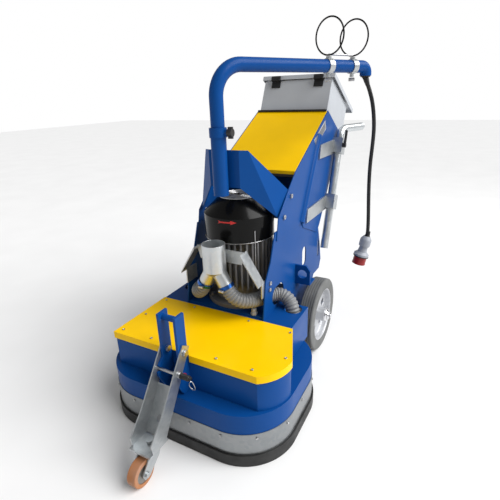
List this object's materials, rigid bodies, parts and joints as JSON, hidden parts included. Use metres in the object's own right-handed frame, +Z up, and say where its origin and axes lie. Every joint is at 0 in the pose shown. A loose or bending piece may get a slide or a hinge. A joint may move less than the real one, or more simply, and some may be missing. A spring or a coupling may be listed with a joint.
{
  "type": "floor grinder",
  "caption": "Walk-behind floor grinder: skirted grinding head, upright motor, swivelling cable boom, swing-up castor arm, sliding handles and a tilted control cabinet.",
  "frame": {"origin": "on the floor, under the middle of the machine's box", "axes": "+Z up, -Y to the front where the castor is, +Y to the operator, +X to the machine's left and right"},
  "size_m": [0.6966, 1.5084, 1.2399],
  "materials": {
    "blue_paint": "satin powder coat",
    "yellow_paint": "satin powder coat",
    "zinc_steel": "galvanised, spangled",
    "fastener_steel": "zinc plated",
    "black_rubber": "matt",
    "cabinet_grey": "fine textured paint",
    "black_plastic": "fine grain",
    "motor_grey": "painted casting",
    "cowl_black": "satin",
    "grey_tyre": "worn rubber",
    "silver_rim": "silver lacquer",
    "castor_tread": "polyurethane",
    "castor_core": "cast",
    "grey_hose": "ribbed",
    "clamp_blue": "plated band",
    "black_wire": "satin",
    "cord_rubber": "matt",
    "plug_grey": "moulded",
    "plug_red": "moulded",
    "machined_steel": "turned",
    "disc_iron": "painted",
    "stop_red": "moulded",
    "start_green": "moulded",
    "latch_metal": "plated"
  },
  "bodies": {
    "chassis": {"lower_hood": "blue_paint", "skirt_band": "zinc_steel", "rubber_skirt": "black_rubber", "upper_housing": "blue_paint", "lid": "yellow_paint", "housing_screws": "fastener_steel", "bearings": "machined_steel", "motor_body": "motor_grey", "fan_cowl": "cowl_black", "leg_plates": "blue_paint", "column": "blue_paint", "upper_panel": "yellow_paint", "motor_shroud": "blue_paint", "boom_sleeve": "blue_paint", "frame_bolts": "fastener_steel", "axle": "zinc_steel", "front_bracket": "blue_paint", "handle_clamps": "zinc_steel", "cabinet": "cabinet_grey", "door_hinges": "black_plastic", "dust_port": "zinc_steel", "port_strap": "zinc_steel", "dust_hoses": "grey_hose", "hose_clamps": "clamp_blue", "motor_lead": "grey_hose", "drive_belt": "black_rubber"},
    "right_wheel": {"right_tyre": "grey_tyre", "right_rim": "silver_rim"},
    "left_wheel": {"left_tyre": "grey_tyre", "left_rim": "silver_rim"},
    "castor_arm": {"castor_arm": "zinc_steel"},
    "lock_pin": {"lock_pin": "fastener_steel", "pin_grip": "black_plastic", "pin_lanyard": "fastener_steel"},
    "castor": {"castor_fork": "zinc_steel"},
    "castor_wheel": {"castor_tyre": "castor_tread", "castor_hub": "castor_core"},
    "boom": {"boom_tube": "blue_paint", "guide_rings": "black_wire", "ring_clamps": "zinc_steel", "supply_cord": "cord_rubber", "plug_body": "plug_grey", "plug_collar": "plug_red", "cord_gland": "black_plastic"},
    "boom_knob": {"boom_knob": "black_plastic"},
    "right_handle": {"right_handle": "zinc_steel"},
    "left_handle": {"left_handle": "zinc_steel"},
    "right_clamp_lever": {"right_clamp_lever": "black_plastic"},
    "left_clamp_lever": {"left_clamp_lever": "black_plastic"},
    "cabinet_door": {"cabinet_door": "cabinet_grey"},
    "door_latch": {"door_latch": "latch_metal"},
    "emergency_stop": {"emergency_stop": "stop_red"},
    "start_button": {"start_button": "start_green"},
    "stop_button": {"stop_button": "stop_red"},
    "motor_rotor": {"motor_shaft": "machined_steel", "cooling_fan": "black_plastic"},
    "right_head": {"right_spindle": "machined_steel", "right_disc": "disc_iron"},
    "left_head": {"left_spindle": "machined_steel", "left_disc": "disc_iron"}
  },
  "joints": [
    {"name": "right_wheel_spin", "type": "hinge", "parent": "chassis", "child": "right_wheel", "pos_m": [0.2155, 0.126, 0.149], "axis": [1, 0, 0], "continuous": true},
    {"name": "left_wheel_spin", "type": "hinge", "parent": "chassis", "child": "left_wheel", "pos_m": [-0.2155, 0.126, 0.149], "axis": [1, 0, 0], "continuous": true},
    {"name": "castor_arm_swing", "type": "hinge", "parent": "chassis", "child": "castor_arm", "pos_m": [0, -0.525, 0.318], "axis": [-1, 0, 0], "range_deg": [0, 100]},
    {"name": "lock_pin_pull", "type": "slide", "parent": "castor_arm", "child": "lock_pin", "axis": [1, 0, 0], "range_m": [0, 0.085]},
    {"name": "castor_swivel", "type": "hinge", "parent": "castor_arm", "child": "castor", "pos_m": [0, -0.668, 0.097], "axis": [0, 0, 1], "continuous": true},
    {"name": "castor_wheel_spin", "type": "hinge", "parent": "castor", "child": "castor_wheel", "pos_m": [0, -0.716, 0.04], "axis": [1, 0, 0], "continuous": true},
    {"name": "boom_turn", "type": "hinge", "parent": "chassis", "child": "boom", "pos_m": [0, -0.218, 0.9], "axis": [0, 0, 1], "range_deg": [-150, 0]},
    {"name": "boom_knob_turn", "type": "hinge", "parent": "chassis", "child": "boom_knob", "pos_m": [0.03, -0.218, 0.9], "axis": [1, 0, 0], "range_deg": [0, 360]},
    {"name": "right_handle_slide", "type": "slide", "parent": "chassis", "child": "right_handle", "axis": [0, 0.341, 0.9401], "range_m": [0, 0.14]},
    {"name": "left_handle_slide", "type": "slide", "parent": "chassis", "child": "left_handle", "axis": [0, 0.341, 0.9401], "range_m": [0, 0.14]},
    {"name": "right_clamp_turn", "type": "hinge", "parent": "chassis", "child": "right_clamp_lever", "pos_m": [0.19, 0.44429, 0.7935], "axis": [1, 0, 0], "range_deg": [-90, 0]},
    {"name": "left_clamp_turn", "type": "hinge", "parent": "chassis", "child": "left_clamp_lever", "pos_m": [-0.19, 0.44429, 0.7935], "axis": [1, 0, 0], "range_deg": [-90, 0]},
    {"name": "door_swing", "type": "hinge", "parent": "chassis", "child": "cabinet_door", "pos_m": [0, 0.4226, 1.06963], "axis": [1, 0, 0], "range_deg": [0, 100]},
    {"name": "door_latch_turn", "type": "hinge", "parent": "cabinet_door", "child": "door_latch", "pos_m": [0, 0.73982, 0.93095], "axis": [0, -0.4321, -0.9018], "range_deg": [0, 90]},
    {"name": "emergency_stop_push", "type": "slide", "parent": "cabinet_door", "child": "emergency_stop", "axis": [0, -0.4321, -0.9018], "range_m": [0, 0.004], "stiffness_N_per_m": 800, "springref_m": -0.002},
    {"name": "start_push", "type": "slide", "parent": "cabinet_door", "child": "start_button", "axis": [0, -0.4321, -0.9018], "range_m": [0, 0.004], "stiffness_N_per_m": 500, "springref_m": -0.002},
    {"name": "stop_push", "type": "slide", "parent": "cabinet_door", "child": "stop_button", "axis": [0, -0.4321, -0.9018], "range_m": [0, 0.004], "stiffness_N_per_m": 500, "springref_m": -0.002},
    {"name": "right_head_spin", "type": "hinge", "parent": "chassis", "child": "right_head", "pos_m": [0.165, -0.33, 0.15], "axis": [0, 0, 1], "continuous": true},
    {"name": "left_head_spin", "type": "hinge", "parent": "chassis", "child": "left_head", "pos_m": [-0.165, -0.33, 0.15], "axis": [0, 0, 1], "continuous": true},
    {"name": "motor_spin", "type": "hinge", "parent": "chassis", "child": "motor_rotor", "pos_m": [0, -0.11, 0.3], "axis": [0, 0, 1], "continuous": true}
  ],
  "couplings": [
    {"joint": "left_head_spin", "follows": "right_head_spin", "ratio": 1},
    {"joint": "motor_spin", "follows": "right_head_spin", "ratio": 1.8}
  ]
}
